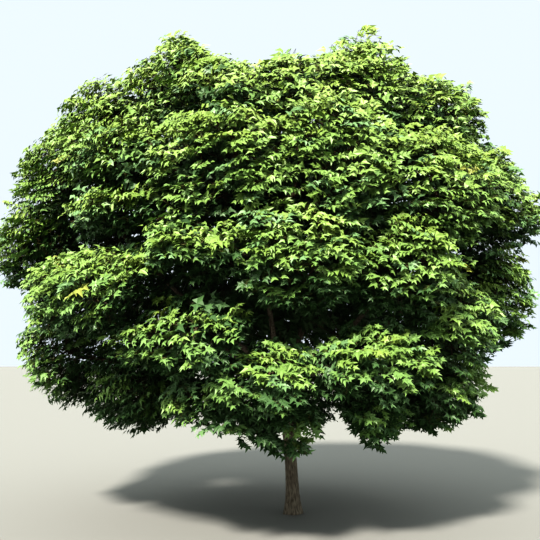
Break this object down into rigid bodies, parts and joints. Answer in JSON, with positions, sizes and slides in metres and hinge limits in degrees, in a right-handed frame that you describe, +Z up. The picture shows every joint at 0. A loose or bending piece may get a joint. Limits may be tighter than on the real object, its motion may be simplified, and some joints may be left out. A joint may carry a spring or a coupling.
{
  "type": "globe-headed maple tree",
  "caption": "Whole maple tree in full summer leaf: a short single trunk with a root flare, spreading boughs and a dense round crown of foliage masses.",
  "frame": {"origin": "middle of the flat cut under the trunk, at ground level", "axes": "+Z up along the trunk, -Y towards the side that the picture shows, +X to the right in it"},
  "size_m": [5.655, 5.1971, 4.9118],
  "materials": {
    "bark": "rough grey-brown bark with shallow ridges",
    "foliage": "satin green summer leaves"
  },
  "bodies": {
    "root": {"back_high_1": "foliage", "back_high_2": "foliage", "back_high_3": "foliage", "back_high_4": "foliage", "back_low_1": "foliage", "back_low_2": "foliage", "back_low_3": "foliage", "back_low_4": "foliage", "back_skirt_1": "foliage", "back_skirt_2": "foliage", "back_skirt_3": "foliage", "back_top_1": "foliage", "back_top_2": "foliage", "back_top_3": "foliage", "back_top_4": "foliage", "bough_back": "bark", "bough_back_left": "bark", "bough_back_right": "bark", "bough_front": "bark", "bough_front_left": "bark", "bough_front_right": "bark", "bough_leader": "bark", "bough_left": "bark", "bough_right": "bark", "face_far_right": "foliage", "face_left": "foliage", "face_left_fringe": "foliage", "face_mid": "foliage", "face_right": "foliage", "left_dome": "foliage", "left_peak": "foliage", "left_shelf": "foliage", "left_tip": "foliage", "left_upper": "foliage", "low_shelf": "foliage", "lower_left": "foliage", "mid_hump": "foliage", "mid_left": "foliage", "mid_left_shelf": "foliage", "mid_right": "foliage", "mid_top": "foliage", "middle": "foliage", "right_brow": "foliage", "right_cluster": "foliage", "right_inner": "foliage", "right_peak": "foliage", "right_shelf": "foliage", "right_shoulder": "foliage", "right_skirt": "foliage", "right_step": "foliage", "right_tip": "foliage", "top_back": "foliage", "top_front": "foliage", "top_left": "foliage", "top_right": "foliage", "trunk": "bark", "tuft_left": "foliage", "tuft_mid": "foliage", "tuft_right": "foliage", "under_left": "foliage"}
  },
  "joints": []
}
